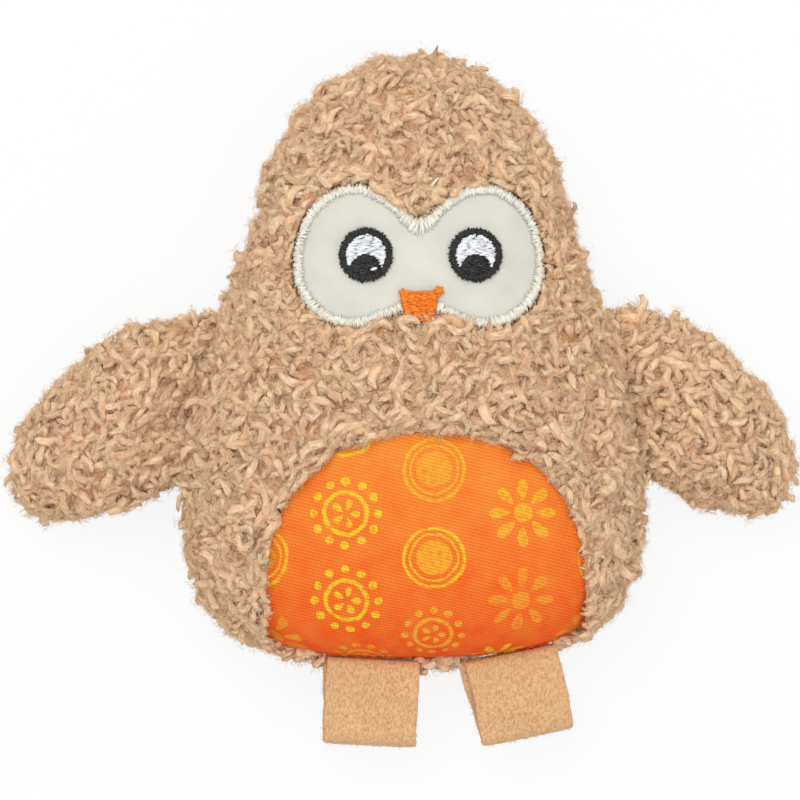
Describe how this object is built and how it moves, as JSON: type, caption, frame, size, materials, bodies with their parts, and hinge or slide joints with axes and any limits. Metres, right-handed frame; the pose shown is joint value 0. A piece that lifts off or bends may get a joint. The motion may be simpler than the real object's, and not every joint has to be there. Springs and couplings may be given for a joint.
{
  "type": "owl cat toy",
  "caption": "Small stuffed plush owl for cats, with an appliqued face mask, a printed belly patch, two sewn-on wings that flap and folded ribbon feet.",
  "frame": {"origin": "middle of the floor under the toy as it lies on its back, at the centre of its bounding box seen from above", "axes": "+Z out of the face, +Y towards the crown of the head, +X to the right when looking at the face, along the spread wings"},
  "size_m": [0.1002, 0.0896, 0.0286],
  "materials": {
    "plush": "curly teddy plush, matt",
    "print": "printed woven cotton, matt",
    "velour": "short-pile velour, matt",
    "white_thread": "satin stitch, slight sheen",
    "black_thread": "satin stitch, slight sheen",
    "orange_thread": "satin stitch, slight sheen",
    "ribbon": "napped felt ribbon, matt",
    "wadding": "loose polyester fibre",
    "nonwoven": "nonwoven sheet, matt",
    "dried_herb": "crumbled dried leaves"
  },
  "bodies": {
    "torso": {"front_panel": "plush", "back_panel": "plush", "belly_patch": "print", "body_filling": "wadding", "embroidery_stabiliser": "nonwoven", "face_mask": "velour", "mask_border": "white_thread", "left_eye_ring": "black_thread", "left_eye_white": "white_thread", "left_eye_pupil": "black_thread", "right_eye_ring": "black_thread", "right_eye_white": "white_thread", "right_eye_pupil": "black_thread", "beak": "orange_thread", "sachet_front_sheet": "nonwoven", "sachet_back_sheet": "nonwoven", "catnip": "dried_herb"},
    "left_wing": {"left_wing_front_panel": "plush", "left_wing_back_panel": "plush", "left_wing_filling": "wadding"},
    "right_wing": {"right_wing_front_panel": "plush", "right_wing_back_panel": "plush", "right_wing_filling": "wadding"},
    "left_foot": {"left_foot_loop": "ribbon"},
    "right_foot": {"right_foot_loop": "ribbon"}
  },
  "joints": [
    {"name": "left_wing_flap", "type": "hinge", "parent": "torso", "child": "left_wing", "pos_m": [-0.0265, 0.00099, 0.012], "axis": [0.2218, 0.9751, 0], "range_deg": [-30, 60]},
    {"name": "right_wing_flap", "type": "hinge", "parent": "torso", "child": "right_wing", "pos_m": [0.02908, 0.00201, 0.012], "axis": [0.2365, -0.9716, 0], "range_deg": [-30, 60]},
    {"name": "left_foot_swing", "type": "hinge", "parent": "torso", "child": "left_foot", "pos_m": [-0.0037, -0.03359, 0.012], "axis": [-0.9988, 0.0492, 0], "range_deg": [-58, 85]},
    {"name": "right_foot_swing", "type": "hinge", "parent": "torso", "child": "right_foot", "pos_m": [0.0143, -0.03277, 0.012], "axis": [-0.9793, -0.2025, 0], "range_deg": [-58, 85]}
  ]
}
